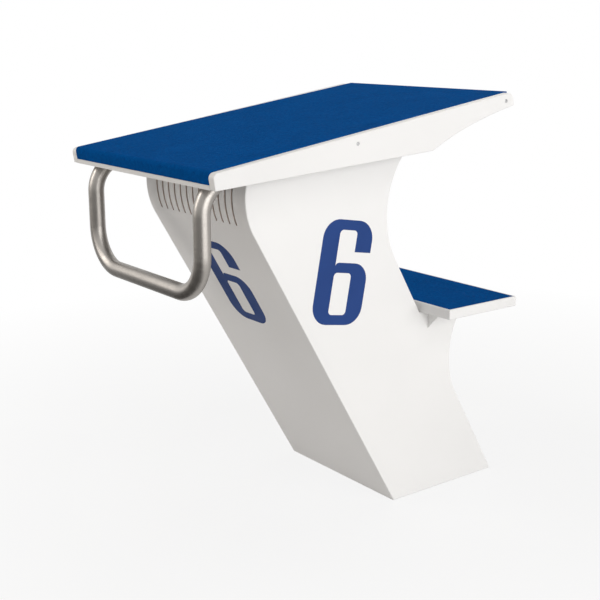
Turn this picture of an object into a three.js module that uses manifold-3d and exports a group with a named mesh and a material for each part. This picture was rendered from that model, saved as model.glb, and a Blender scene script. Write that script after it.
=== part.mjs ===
// Swimming starting block: a leaning pedestal of bent sheet, a sloping deck with a tread and two cheeks,
// a bent tube to hang from under the deck's front edge, and a step behind the pedestal.
// Millimetres, +Z up. The origin is the middle of the base's underside and the pool lies towards -Y.
// Left and right are those of a swimmer who faces the pool, so left is +X.
import * as THREE from 'three';
import { mergeVertices } from 'three/addons/utils/BufferGeometryUtils.js';
import Module from 'manifold-3d';

const wasm = await Module();
wasm.setup();

// Clearances and overruns
const seatGap = 0.3; // between pieces that touch
const shankGap = 0.3; // round a screw in its hole
const cutOverrun = 20; // how far a cutter runs past the piece that it cuts

// Pedestal. Its width follows from the deck's, less what the deck holds on each side.
const baseLength = 284;
const leanDegrees = 30.2; // from upright, towards the pool
const sheet = 3;
const panelEdgeChamfer = 1.2;
const flangeWidth = 22;
const flangeDrop = 0.5; // of the top flange below the side panel's top edge
const frontBendRadius = 130;
const frontBendDrop = 65; // of the bend's centre below the deck's front corner
const lowerNeckRadius = 166; // hollow curve of the rear edge below the step
const lowerNeckDrop = 106; // of its centre below the step's underside
const upperNeckRadius = 178; // hollow curve of the rear edge above the step
const flareDegrees = 40.1; // from level, of the straight rear edge between that hollow and the deck
const flareLeastLength = 25;
const pedestalRearSetback = 120; // of the rear edge's top from the deck's rear, along the tread

// Slots in the front panel
const slotCount = 13;
const slotMargin = 42; // from the pedestal's side to the middle of the outer slot
const slotWidth = 5;
const slotBelowBend = 50;
const slotAboveBend = 40;

// Base plate
const basePlateThickness = 8;
const baseEarHeight = 45;
const baseEarThickness = 5;
const anchorMarginAcross = 55; // from the pedestal's side
const anchorMarginAlong = 52; // from the base's front and rear
const anchorHoleRadius = 7;

// Screws of the removable lower rear panel
const panelScrewRadius = 2.5;
const panelScrewHeadRadius = 5;
const panelScrewHeadHeight = 2.6;
const panelScrewLength = 9;
const panelScrewHeightShares = [0.12, 0.5, 0.88]; // of the step's underside height

// Deck
const deckWidth = 500;
const deckLength = 694;
const deckSlopeDegrees = 8.5;
const deckFrontHeight = 715; // of the front top corner
const deckFrontOverhang = 116; // ahead of the pedestal's furthest forward point
const treadThickness = 5;
const treadBendRadius = 3; // inside its front bend
const deckFrontDepth = 31;
const lipThickness = 8; // the pan's front foot, which shows under the tread
const panThickness = 9.7;
const panWall = 8;
const panSideDepth = 24;
const panRibThickness = 6;
const panRibPlaceShares = [0.25, 0.62]; // of the way from the pedestal to the pan's rear wall

// Cheeks
const cheekThickness = 16;
const cheekFrontDrop = 3; // of its top edge below the tread's top
const cheekRearDrop = 0.5;
const cheekDepth = 68; // at the knee, below the tread's top
const cheekRearDepth = 26.5;
const cheekKneeShare = 0.683; // of the deck's length
const cheekScoopShares = { along: 0.807, deep: 0.53 }; // the scoop's control point, of length and depth
const cheekFrontRadius = 9;
const cheekRearRadius = 13;
const cheekEdgeChamfer = 1;
const middleScrewPlaceShare = 0.43; // of the deck's length
const rearScrewPlaceShare = 0.97;
const middleScrewDepth = 17.5; // below the tread's top
const rearScrewDepth = 14;
const cheekScrewHeadRadius = 3.4;
const cheekScrewHeadHeight = 2;
const cheekScrewRadius = 2;
const cheekScrewLength = 20;

// Deck bolts, up through the side panels' top flanges into the pan
const deckBoltRadius = 4;
const deckBoltHeadRadius = 6.5;
const deckBoltHeadHeight = 5;
const deckBoltLength = 9;
const deckBoltPlaceShares = [0.12, 0.47, 0.82]; // of the top flange's length

// Grip
const gripTubeRadius = 15;
const gripWall = 2;
const gripSideClearance = 2; // between the tube and the pedestal's side
const gripBarDrop = 220; // below the deck's front top corner
const gripSetback = 17; // of the legs' centre behind the deck's front top corner
const gripTopBendRadius = 62;
const gripLowerBendRadius = 75;
const saddleThickness = 3;
const saddleWidth = 20;
const saddleEar = 15;
const saddleCount = 2; // on each end of the tube, where there is room
const saddleRoom = 5.4; // between a saddle's ear and the pan's side wall
const saddleClearance = 1; // from the tube's bend, and from the pedestal's front
const saddleScrewRadius = 2.5;
const saddleScrewHeadRadius = 4.5;
const saddleScrewHeadHeight = 2.6;
const saddleScrewLength = 9;
const endPlugHeadThickness = 3;
const endPlugLength = 14;

// Step
const stepSideOverhang = 80; // past the pedestal's side
const stepDepth = 190;
const stepHeight = 408;
const stepThickness = 20;
const stepFrontGap = 3; // behind the pedestal's rear face, at the step's underside
const stepRim = 4; // of the board round its tread
const stepTreadThickness = 3;
const stepEdgeChamfer = 1;
const gussetSetback = 20; // behind the step's front edge
const gussetWidth = 32;
const gussetHeight = 36;
const gussetThickness = 3;
const gussetFlange = 40;
const stepScrewRadius = 3;
const stepScrewHeadRadius = 5.5;
const stepScrewHeadHeight = 3.2;
const stepScrewLength = 13;
const stepBoltPlaceShares = [0.25, 0.78]; // of the ledge's length

// Loudspeaker behind the slots
const baffleClearance = 3; // behind the front flanges
const baffleThickness = 3;
const baffleMargin = 6; // round the basket, above and below
const baffleTab = 30;
const basketRadius = 46;
const basketRim = 7;
const basketDepth = 34;
const basketSheet = 2;
const magnetRadius = 27;
const magnetDepth = 18;
const coneSheet = 1.5;
const coneThroatShare = 0.35; // of the cone's mouth radius

// Steps of the curves
const bendSteps = 10;
const neckSteps = 14;
const cornerSteps = 4;
const cheekSteps = 7;
const saddleSteps = 6;
const tubeBendSteps = 8;
const tubeSides = 18;
const boreSides = 10;
const screwSides = 10;
const holeSides = 12;
const speakerSides = 24;

// Colours
const white = 0xf2f2ef;
const blue = 0x03437f;
const steelGrey = 0xb9b4ab;
const darkGrey = 0x2b2b2d;

const lean = THREE.MathUtils.degToRad(leanDegrees);
const slope = THREE.MathUtils.degToRad(deckSlopeDegrees);
const deckHalf = deckWidth / 2;
const panHalf = deckHalf - cheekThickness - seatGap;
const saddleReach = gripTubeRadius + seatGap + saddleThickness; // from the tube's middle to the ear
const gripHalf = panHalf - panWall - saddleRoom - saddleEar - saddleReach;
const pedestalHalf = gripHalf - gripTubeRadius - gripSideClearance;
const baseHalf = baseLength / 2;
const panelHalf = pedestalHalf - sheet - seatGap; // front and rear panels lie between the side panels
const flangeInset = sheet + seatGap; // the panels lie on the flanges
const flangeEnd = pedestalHalf - sheet - flangeWidth;
const flangeMiddle = pedestalHalf - sheet - flangeWidth / 2;
const treadEdgeRadius = treadBendRadius + treadThickness;
const panTop = treadThickness + seatGap;
const panUnderside = panTop + panThickness;
const roof = panUnderside + seatGap; // depth of the pedestal's top below the tread
const ledge = stepHeight - stepThickness;
const inner = 2 * (sheet + seatGap); // inset of what stands inside the flanges
const frontBendHeight = deckFrontHeight - frontBendDrop;
const lowerNeckHeight = ledge - lowerNeckDrop;
const flare = THREE.MathUtils.degToRad(flareDegrees);

// Points and outlines

/** A line that leans from its foot, then an arc that it touches, whose centre is at a height. */
function leaningBend(foot, radius, height, steps) {
  const y = foot + (radius - height * Math.sin(lean)) / Math.cos(lean);
  return { foot, radius, steps, centre: new THREE.Vector2(y, height) };
}

const front = leaningBend(-baseHalf, frontBendRadius, frontBendHeight, bendSteps);
const lowerNeck = leaningBend(baseHalf, lowerNeckRadius, lowerNeckHeight, neckSteps);
const pedestalFront = front.centre.x - front.radius;
const deckFront = pedestalFront - deckFrontOverhang;

/** The deck's own frame runs along the tread from its front top corner, and square to it. */
function deckPoint(along, square) {
  return new THREE.Vector2(
    deckFront + along * Math.cos(slope) - square * Math.sin(slope),
    deckFrontHeight + along * Math.sin(slope) + square * Math.cos(slope),
  );
}

/** A line that leans from its foot, an arc, then a straight flare up to a top point, which limits the arc. */
function flaredBend(foot, fullRadius, top, steps) {
  const centreOf = (radius) => {
    const leaning = radius + foot * Math.cos(lean);
    const flared = radius + top.x * Math.sin(flare) - top.y * Math.cos(flare);
    return new THREE.Vector2(
      (leaning * Math.cos(flare) + flared * Math.sin(lean)) / Math.cos(lean - flare),
      (leaning * Math.sin(flare) - flared * Math.cos(lean)) / Math.cos(lean - flare),
    );
  };
  const turn = Math.PI / 2 + lean - flare;
  const room = centreOf(0).distanceTo(top) - flareLeastLength;
  const radius = Math.min(fullRadius, room / Math.tan(turn / 2));
  return { foot, radius, steps, centre: centreOf(radius) };
}

const pedestalTopRear = deckPoint(deckLength - pedestalRearSetback, -roof);
const upperNeck = flaredBend(baseHalf, upperNeckRadius, pedestalTopRear, neckSteps);

/** How far along the tread a point lies. */
function alongDeck(point) {
  return (point.x - deckFront) * Math.cos(slope) + (point.y - deckFrontHeight) * Math.sin(slope);
}

/** Y of a leaning line, moved by toRear square to itself, at a height. */
function leaningLine(curve, toRear, height) {
  return curve.foot + toRear / Math.cos(lean) - height * Math.tan(lean);
}

/** The angle round a leaning curve's arc, at a height. */
function arcAngle(curve, toRear, height) {
  return Math.PI - Math.asin((height - curve.centre.y) / (curve.radius - toRear));
}

/** The height where a leaning curve goes from its line to its arc. */
function touchHeight(curve, toRear) {
  return curve.centre.y - (curve.radius - toRear) * Math.sin(lean);
}

/** Y of a leaning curve, on its line or its arc, at a height. */
function leaningY(curve, toRear, height) {
  return height < touchHeight(curve, toRear)
    ? leaningLine(curve, toRear, height)
    : curve.centre.x + (curve.radius - toRear) * Math.cos(arcAngle(curve, toRear, height));
}

function arcPoints(centre, radius, from, to, steps) {
  const points = [];
  for (let i = 0; i <= steps; i += 1) {
    const angle = from + ((to - from) * i) / steps;
    points.push(new THREE.Vector2(centre.x + radius * Math.cos(angle), centre.y + radius * Math.sin(angle)));
  }
  return points;
}

/** Up the leaning line from a height, then round the arc that it touches to an angle. */
function leaningCurve(curve, toRear, startHeight, endAngle) {
  const radius = curve.radius - toRear;
  if (startHeight >= touchHeight(curve, toRear)) {
    return arcPoints(curve.centre, radius, arcAngle(curve, toRear, startHeight), endAngle, curve.steps);
  }
  const start = new THREE.Vector2(leaningLine(curve, toRear, startHeight), startHeight);
  return [start, ...arcPoints(curve.centre, radius, Math.PI + lean, endAngle, curve.steps)];
}

/** The angle at which a leaning curve's arc meets a plane parallel to the tread, at a depth below it. */
function angleAtDepth(curve, toRear, depth) {
  const radius = curve.radius - toRear;
  const along = new THREE.Vector2(Math.cos(slope), Math.sin(slope));
  const offset = deckPoint(0, -depth).sub(curve.centre);
  const half = along.dot(offset);
  const distance = -half - Math.sqrt(half * half - offset.lengthSq() + radius * radius);
  const end = offset.addScaledVector(along, distance);
  return Math.atan2(end.y, end.x);
}

/** Where a line crosses a plane parallel to the tread, at a depth below it. */
function meetDepth(point, direction, depth) {
  const origin = deckPoint(0, -depth);
  const square = new THREE.Vector2(-Math.sin(slope), Math.cos(slope));
  const distance = origin.clone().sub(point).dot(square) / direction.dot(square);
  return point.clone().addScaledVector(direction, distance);
}

/** Front of the pedestal, moved inwards by inset, up to a depth below the tread. */
function frontCurve(inset, startHeight, depth) {
  return leaningCurve(front, inset, startHeight, angleAtDepth(front, inset, depth));
}

/** Rear of the pedestal below the step, moved inwards by inset. */
function lowerCurve(inset, startHeight, endHeight) {
  return leaningCurve(lowerNeck, -inset, startHeight, arcAngle(lowerNeck, -inset, endHeight));
}

/** Rear of the pedestal above the step, moved inwards by inset, up to a depth below the tread. */
function upperCurve(inset, startHeight, depth) {
  const points = leaningCurve(upperNeck, -inset, startHeight, Math.PI / 2 + flare);
  const upFlare = new THREE.Vector2(Math.cos(flare), Math.sin(flare));
  points.push(meetDepth(points.at(-1), upFlare, depth));
  return points;
}

function strip(outer, innerSide) {
  return new THREE.Shape([...outer, ...innerSide.reverse()]);
}

// Solids

function toSolid(geometry) {
  const bare = geometry.clone();
  bare.deleteAttribute('normal');
  bare.deleteAttribute('uv');
  const merged = mergeVertices(bare);
  return new wasm.Manifold(
    new wasm.Mesh({
      numProp: 3,
      vertProperties: merged.attributes.position.array,
      triVerts: Uint32Array.from(merged.index.array),
    }),
  );
}

function toGeometry(solid) {
  const mesh = solid.getMesh();
  const geometry = new THREE.BufferGeometry();
  geometry.setAttribute('position', new THREE.BufferAttribute(mesh.vertProperties, 3));
  geometry.setIndex(new THREE.BufferAttribute(mesh.triVerts, 1));
  const flat = geometry.toNonIndexed();
  flat.computeVertexNormals();
  return flat;
}

function join(...solids) {
  return solids.reduce((sum, solid) => sum.add(solid));
}

function extrude(shape, length, chamfer = 0) {
  return new THREE.ExtrudeGeometry(shape, {
    depth: length - 2 * chamfer,
    bevelEnabled: chamfer > 0,
    bevelThickness: chamfer,
    bevelSize: chamfer,
    bevelOffset: -chamfer,
    bevelSegments: 1,
  }).translate(0, 0, chamfer);
}

const axisX = new THREE.Vector3(1, 0, 0);
const axisY = new THREE.Vector3(0, 1, 0);
const axisZ = new THREE.Vector3(0, 0, 1);

/** An outline drawn along and up (y, z), carried across the block between two x. */
function across(shape, x0, x1, chamfer = 0) {
  const low = Math.min(x0, x1);
  const geometry = extrude(shape, Math.abs(x1 - x0), chamfer);
  geometry.applyMatrix4(new THREE.Matrix4().makeBasis(axisY, axisZ, axisX));
  return toSolid(geometry.translate(low, 0, 0));
}

/** An outline drawn across and up (x, z), carried towards the pool from a y. */
function forward(shape, yRear, length) {
  const geometry = extrude(shape, length);
  geometry.applyMatrix4(new THREE.Matrix4().makeBasis(axisX, axisZ, axisY.clone().negate()));
  return toSolid(geometry.translate(0, yRear, 0));
}

/** A plan outline (x, y), carried upwards from a z. */
function upward(shape, zLow, height, chamfer = 0) {
  return toSolid(extrude(shape, height, chamfer).translate(0, 0, zLow));
}

function box(x0, x1, y0, y1, z0, z1) {
  const geometry = new THREE.BoxGeometry(Math.abs(x1 - x0), Math.abs(y1 - y0), Math.abs(z1 - z0));
  return toSolid(geometry.translate((x0 + x1) / 2, (y0 + y1) / 2, (z0 + z1) / 2));
}

/** Turns a geometry made about +Y so that +Y points along a direction, and moves it to a point. */
function aim(geometry, point, direction) {
  const turn = new THREE.Quaternion().setFromUnitVectors(axisY, direction.clone().normalize());
  return geometry.applyQuaternion(turn).translate(point.x, point.y, point.z);
}

/** A round cutter, long enough to pass a sheet, whose middle is the point. */
function drill(point, direction, radius, length) {
  return toSolid(aim(new THREE.CylinderGeometry(radius, radius, length, holeSides), point, direction));
}

function revolve(profile, sides) {
  return new THREE.LatheGeometry(profile.map(([radius, height]) => new THREE.Vector2(radius, height)), sides);
}

/** A screw whose head seats at the point, with its shank along the direction. */
function screw(point, direction, shank, length, head, headHeight) {
  const geometry = revolve(
    [
      [0, -headHeight],
      [head, -headHeight],
      [head, 0],
      [shank, 0],
      [shank, length],
      [0, length],
    ],
    screwSides,
  );
  return aim(geometry, point, direction);
}

// Pieces and finishes

function finish(color, roughness, metalness) {
  return new THREE.MeshStandardMaterial({ color, roughness, metalness });
}
const whiteCoat = () => finish(white, 0.45, 0);
const whitePlastic = () => finish(white, 0.5, 0);
const tread = () => finish(blue, 0.9, 0);
const steel = () => finish(steelGrey, 0.3, 1);
const blackPlastic = () => finish(darkGrey, 0.6, 0);

function piece(name, body, material) {
  const mesh = new THREE.Mesh(body.isBufferGeometry ? body : toGeometry(body), material);
  mesh.name = name;
  return mesh;
}

const sides = [
  { name: 'left', sign: 1 },
  { name: 'right', sign: -1 },
];

const block = new THREE.Group();
const pedestal = new THREE.Group();
const deck = new THREE.Group();
const grip = new THREE.Group();
const step = new THREE.Group();
const speaker = new THREE.Group();
deck.position.set(0, deckFront, deckFrontHeight);
deck.rotation.x = slope;
block.add(pedestal, deck, grip, step, speaker);

// Pedestal: side panels

/** Places along the top flange, in the deck's own frame. */
function alongTopFlange(share) {
  const start = frontCurve(flangeInset, 0, roof).at(-1);
  const end = upperCurve(flangeInset, ledge, roof).at(-1);
  return THREE.MathUtils.lerp(alongDeck(start), alongDeck(end), share);
}

function alongLedge(share) {
  const start = leaningLine(upperNeck, -flangeInset, ledge);
  return THREE.MathUtils.lerp(start, leaningY(lowerNeck, -flangeInset, ledge), share);
}

/** A place on the outside of the lower rear panel at a height, and the way out of it. */
function onLowerPanel(x, height) {
  const touch = touchHeight(lowerNeck, 0);
  const angle = arcAngle(lowerNeck, 0, Math.max(height, touch));
  return {
    point: new THREE.Vector3(x, leaningY(lowerNeck, 0, height), height),
    out: new THREE.Vector3(0, -Math.cos(angle), -Math.sin(angle)),
  };
}

function panelOutline() {
  return new THREE.Shape([
    ...frontCurve(0, 0, roof),
    ...upperCurve(0, ledge, roof).reverse(),
    ...lowerCurve(0, 0, ledge).reverse(),
  ]);
}

/** The flanges that follow the panel's edge, open at its foot. */
function flangeOutline() {
  const deep = flangeInset + sheet;
  const under = roof + flangeDrop;
  return new THREE.Shape([
    ...frontCurve(flangeInset, 0, under),
    ...upperCurve(flangeInset, ledge, under).reverse(),
    ...lowerCurve(flangeInset, 0, ledge).reverse(),
    ...lowerCurve(deep, 0, ledge - sheet),
    ...upperCurve(deep, ledge - sheet, under + sheet),
    ...frontCurve(deep, 0, under + sheet).reverse(),
  ]);
}

function sidePanel(sign) {
  const outside = sign * pedestalHalf;
  const inside = sign * (pedestalHalf - sheet);
  const end = sign * flangeEnd;
  const root = sign * (pedestalHalf - sheet / 2);
  const panel = join(
    across(panelOutline(), outside, inside, panelEdgeChamfer),
    across(panelOutline(), root, inside),
    across(flangeOutline(), root, end),
  );
  const middle = sign * flangeMiddle;
  const up = new THREE.Vector3(0, -Math.sin(slope), Math.cos(slope));
  const holes = deckBoltPlaceShares.map((share) => {
    const place = deckPoint(alongTopFlange(share), -roof);
    const point = new THREE.Vector3(middle, place.x, place.y);
    return drill(point, up, deckBoltRadius + shankGap, cutOverrun);
  });
  stepBoltPlaceShares.forEach((share) => {
    const point = new THREE.Vector3(middle, alongLedge(share), ledge);
    holes.push(drill(point, axisZ, stepScrewRadius + shankGap, cutOverrun));
  });
  panelScrewHeightShares.forEach((share) => {
    const { point, out } = onLowerPanel(middle, share * ledge);
    holes.push(drill(point, out, panelScrewRadius + shankGap, cutOverrun));
  });
  return panel.subtract(join(...holes));
}

sides.forEach(({ name, sign }) => {
  pedestal.add(piece(`side_panel_${name}`, sidePanel(sign), whiteCoat()));
});

// Pedestal: front panel with its slots

function slotShape(x) {
  const low = frontBendHeight - slotBelowBend + slotWidth / 2;
  const high = frontBendHeight + slotAboveBend - slotWidth / 2;
  const shape = new THREE.Shape();
  shape.moveTo(x - slotWidth / 2, high);
  shape.lineTo(x - slotWidth / 2, low);
  shape.absarc(x, low, slotWidth / 2, Math.PI, 2 * Math.PI);
  shape.lineTo(x + slotWidth / 2, high);
  shape.absarc(x, high, slotWidth / 2, 0, Math.PI);
  return new THREE.Shape(shape.getPoints(cornerSteps));
}

function frontPanel() {
  const bent = across(strip(frontCurve(0, 0, roof), frontCurve(sheet, 0, roof)), -panelHalf, panelHalf);
  const slots = [];
  const reach = frontBendRadius * (1 - Math.cos(lean)) + sheet + cutOverrun;
  for (let i = 0; i < slotCount; i += 1) {
    const x = (pedestalHalf - slotMargin) * ((2 * i) / (slotCount - 1) - 1);
    slots.push(forward(slotShape(x), pedestalFront + reach, reach + cutOverrun));
  }
  return bent.subtract(join(...slots));
}

pedestal.add(piece('front_panel', frontPanel(), whiteCoat()));

// Pedestal: rear panels

pedestal.add(
  piece(
    'rear_panel_upper',
    across(strip(upperCurve(0, ledge, roof), upperCurve(sheet, ledge, roof)), -panelHalf, panelHalf),
    whiteCoat(),
  ),
);

const lowerPanelTop = ledge - seatGap;
const lowerPanel = across(
  strip(lowerCurve(0, 0, lowerPanelTop), lowerCurve(sheet, 0, lowerPanelTop)),
  -panelHalf,
  panelHalf,
);
const lowerPanelHoles = [];
sides.forEach(({ name, sign }) => {
  panelScrewHeightShares.forEach((share, i) => {
    const { point, out } = onLowerPanel(sign * flangeMiddle, share * ledge);
    lowerPanelHoles.push(drill(point, out, panelScrewRadius + shankGap, cutOverrun));
    const seat = point.clone().addScaledVector(out, seatGap);
    const body = screw(
      seat,
      out.clone().negate(),
      panelScrewRadius,
      panelScrewLength,
      panelScrewHeadRadius,
      panelScrewHeadHeight,
    );
    pedestal.add(piece(`rear_panel_screw_${name}_${i + 1}`, body, steel()));
  });
});
pedestal.add(piece('rear_panel_lower', lowerPanel.subtract(join(...lowerPanelHoles)), whiteCoat()));

// Pedestal: base plate, whose two ears stand against the side panels

function baseOutline(height) {
  return new THREE.Shape([
    new THREE.Vector2(leaningLine(front, inner, 0), 0),
    new THREE.Vector2(leaningLine(lowerNeck, -inner, 0), 0),
    new THREE.Vector2(leaningLine(lowerNeck, -inner, height), height),
    new THREE.Vector2(leaningLine(front, inner, height), height),
  ]);
}

function basePlate() {
  const ears = sides.map(({ sign }) =>
    across(baseOutline(baseEarHeight), sign * panelHalf, sign * (panelHalf - baseEarThickness)),
  );
  const plate = across(baseOutline(basePlateThickness), -panelHalf, panelHalf);
  const holes = [];
  const length = 2 * (basePlateThickness + cutOverrun);
  sides.forEach(({ sign }) => {
    const x = sign * (pedestalHalf - anchorMarginAcross);
    [-1, 1].forEach((way) => {
      const y = way * (baseHalf - anchorMarginAlong);
      holes.push(drill(new THREE.Vector3(x, y, 0), axisZ, anchorHoleRadius, length));
    });
  });
  return join(plate, ...ears).subtract(join(...holes));
}

pedestal.add(piece('base_plate', basePlate(), steel()));

// Deck: tread and pan. In the deck's frame y runs along the tread from its front top corner.

function treadOutline() {
  const shape = new THREE.Shape();
  const wrap = deckFrontDepth - lipThickness - seatGap;
  shape.moveTo(deckLength, 0);
  shape.lineTo(treadEdgeRadius, 0);
  shape.absarc(treadEdgeRadius, -treadEdgeRadius, treadEdgeRadius, Math.PI / 2, Math.PI);
  shape.lineTo(0, -wrap);
  shape.lineTo(treadThickness, -wrap);
  shape.lineTo(treadThickness, -treadEdgeRadius);
  shape.absarc(
    treadEdgeRadius, -treadEdgeRadius, treadEdgeRadius - treadThickness, Math.PI, Math.PI / 2, true,
  );
  shape.lineTo(deckLength, -treadThickness);
  return new THREE.Shape(shape.getPoints(cornerSteps));
}

function panOutline() {
  const face = panTop;
  const radius = treadEdgeRadius - panTop;
  const shape = new THREE.Shape();
  shape.moveTo(deckLength, -panTop);
  shape.lineTo(face + radius, -panTop);
  shape.absarc(face + radius, -panTop - radius, radius, Math.PI / 2, Math.PI);
  shape.lineTo(face, lipThickness - deckFrontDepth);
  shape.lineTo(0, lipThickness - deckFrontDepth);
  shape.lineTo(0, -deckFrontDepth);
  shape.lineTo(face + panWall, -deckFrontDepth);
  shape.lineTo(face + panWall, -panSideDepth);
  shape.lineTo(deckLength, -panSideDepth);
  return new THREE.Shape(shape.getPoints(cornerSteps));
}

function pan() {
  const wall = panTop + panWall;
  const bottom = -panSideDepth - cutOverrun;
  const insideHalf = panHalf - panWall;
  const hollow = box(-insideHalf, insideHalf, wall, deckLength - panWall, bottom, -panUnderside);
  const pedestalRear = alongDeck(upperCurve(0, ledge, roof).at(-1));
  const ribs = panRibPlaceShares.map((share) => {
    const y = THREE.MathUtils.lerp(pedestalRear, deckLength - panWall, share);
    return box(-insideHalf, insideHalf, y, y + panRibThickness, bottom, -panUnderside);
  });
  const holes = [];
  sides.forEach(({ sign }) => {
    deckBoltPlaceShares.forEach((share) => {
      const point = new THREE.Vector3(sign * flangeMiddle, alongTopFlange(share), -panUnderside);
      holes.push(drill(point, axisZ, deckBoltRadius + shankGap, 2 * (deckBoltLength - sheet)));
    });
    cheekScrewPoints(sign * panHalf).forEach((point) => {
      const depth = cheekScrewLength - cheekThickness + cheekScrewHeadHeight + seatGap;
      holes.push(drill(point, axisX, cheekScrewRadius + shankGap, 2 * depth));
    });
    eachSaddleScrew(sign, (x, y) => {
      const point = new THREE.Vector3(x, y, -panUnderside);
      const length = 2 * (saddleScrewLength - saddleThickness);
      holes.push(drill(point, axisZ, saddleScrewRadius + shankGap, length));
    });
  });
  const cutters = join(hollow.subtract(join(...ribs)), ...holes);
  return across(panOutline(), -panHalf, panHalf).subtract(cutters);
}

// Deck: cheeks, screws and bolts

function cheekOutline() {
  const shape = new THREE.Shape();
  const knee = cheekKneeShare * deckLength;
  shape.moveTo(0, -deckFrontDepth);
  shape.lineTo(knee, -cheekDepth);
  shape.quadraticCurveTo(
    cheekScoopShares.along * deckLength, -cheekScoopShares.deep * cheekDepth, deckLength, -cheekRearDepth,
  );
  const rearCentre = -cheekRearDrop - cheekRearRadius;
  const frontCentre = -cheekFrontDrop - cheekFrontRadius;
  shape.lineTo(deckLength, rearCentre);
  shape.absarc(deckLength - cheekRearRadius, rearCentre, cheekRearRadius, 0, Math.PI / 2);
  shape.lineTo(cheekFrontRadius, -cheekFrontDrop);
  shape.absarc(cheekFrontRadius, frontCentre, cheekFrontRadius, Math.PI / 2, Math.PI);
  return new THREE.Shape(shape.getPoints(cheekSteps));
}

function cheekScrewPoints(x) {
  return [
    new THREE.Vector3(x, middleScrewPlaceShare * deckLength, -middleScrewDepth),
    new THREE.Vector3(x, rearScrewPlaceShare * deckLength, -rearScrewDepth),
  ];
}

function cheek(sign) {
  const board = across(cheekOutline(), sign * (deckHalf - cheekThickness), sign * deckHalf, cheekEdgeChamfer);
  const holes = cheekScrewPoints(sign * deckHalf).flatMap((point) => [
    drill(point, axisX, cheekScrewRadius + shankGap, 2 * (cheekThickness + cutOverrun)),
    drill(point, axisX, cheekScrewHeadRadius + shankGap, 2 * (cheekScrewHeadHeight + seatGap)),
  ]);
  return board.subtract(join(...holes));
}

function deckBolt(sign, share) {
  const seat = roof + flangeDrop + sheet + seatGap;
  const point = new THREE.Vector3(sign * flangeMiddle, alongTopFlange(share), -seat);
  return screw(point, axisZ, deckBoltRadius, deckBoltLength, deckBoltHeadRadius, deckBoltHeadHeight);
}

// Grip: the tube's two ends lie under the pan, in saddles

const gripDepth = panUnderside + seatGap + gripTubeRadius; // of the tube's ends below the tread
const gripAlong = (gripSetback - gripDepth * Math.sin(slope)) / Math.cos(slope);
const gripBendEnd = gripAlong + gripTopBendRadius * Math.tan((Math.PI / 2 - slope) / 2);
const pedestalTopFront = alongDeck(frontCurve(0, 0, roof).at(-1));
const gripEnd = pedestalTopFront - endPlugHeadThickness - seatGap;

const saddleSetback = saddleClearance + saddleWidth / 2;
const strapDrop = Math.sqrt(saddleReach ** 2 - (gripTubeRadius + gripSideClearance) ** 2);
const strapFront = alongDeck(frontCurve(0, 0, gripDepth + strapDrop).at(-1)); // where one could meet the side
const saddleStretch = strapFront - gripBendEnd - 2 * saddleSetback;
const saddleRow = Math.min(saddleCount, 1 + Math.floor(saddleStretch / (saddleWidth + saddleClearance)));
const saddlePlaces = [...Array(saddleRow).keys()].map(
  (i) => gripBendEnd + saddleSetback + (i * saddleStretch) / Math.max(saddleRow - 1, 1),
);

function eachSaddleScrew(sign, use) {
  saddlePlaces.forEach((place) => {
    const reach = saddleReach + saddleEar / 2;
    [-1, 1].forEach((way) => use(sign * gripHalf + way * reach, place));
  });
}

/** The middle line of a bent tube: straight runs between corners, each corner an arc of its own radius. */
class BentTubeCurve extends THREE.Curve {
  constructor(corners, radii) {
    super();
    this.stations = [{ point: corners[0], way: corners[1].clone().sub(corners[0]).normalize() }];
    radii.forEach((radius, i) => this.addBend(corners[i], corners[i + 1], corners[i + 2], radius));
    const last = corners.length - 1;
    const way = corners[last].clone().sub(corners[last - 1]).normalize();
    this.stations.push({ point: corners[last], way });
  }

  addBend(before, corner, after, radius) {
    const into = corner.clone().sub(before).normalize();
    const out = after.clone().sub(corner).normalize();
    const turn = into.angleTo(out);
    const start = corner.clone().addScaledVector(into, -radius * Math.tan(turn / 2));
    const axis = into.clone().cross(out).normalize();
    const centre = start.clone().addScaledVector(axis.clone().cross(into), radius);
    for (let i = 0; i <= tubeBendSteps; i += 1) {
      const angle = (turn * i) / tubeBendSteps;
      const point = start.clone().sub(centre).applyAxisAngle(axis, angle).add(centre);
      this.stations.push({ point, way: into.clone().applyAxisAngle(axis, angle) });
    }
  }

  station(share) {
    return this.stations[Math.round(share * (this.stations.length - 1))];
  }

  getPointAt(share) {
    return this.station(share).point.clone();
  }

  getTangentAt(share) {
    return this.station(share).way.clone();
  }
}

function gripTube() {
  const legTop = deckPoint(gripAlong, -gripDepth);
  const stubEnd = deckPoint(gripEnd, -gripDepth);
  const oneSide = (x) => [
    new THREE.Vector3(x, stubEnd.x, stubEnd.y),
    new THREE.Vector3(x, legTop.x, legTop.y),
    new THREE.Vector3(x, legTop.x, deckFrontHeight - gripBarDrop),
  ];
  const corners = [...oneSide(-gripHalf), ...oneSide(gripHalf).reverse()];
  const radii = [gripTopBendRadius, gripLowerBendRadius, gripLowerBendRadius, gripTopBendRadius];
  const route = new BentTubeCurve(corners, radii);
  const section = new THREE.Shape(ring(gripTubeRadius, tubeSides));
  section.holes.push(new THREE.Path(ring(gripTubeRadius - gripWall, boreSides)));
  return new THREE.ExtrudeGeometry(section, { steps: route.stations.length - 1, extrudePath: route });
}

function ring(radius, count) {
  return arcPoints(new THREE.Vector2(), radius, 0, (2 * Math.PI * (count - 1)) / count, count - 1);
}

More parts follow.
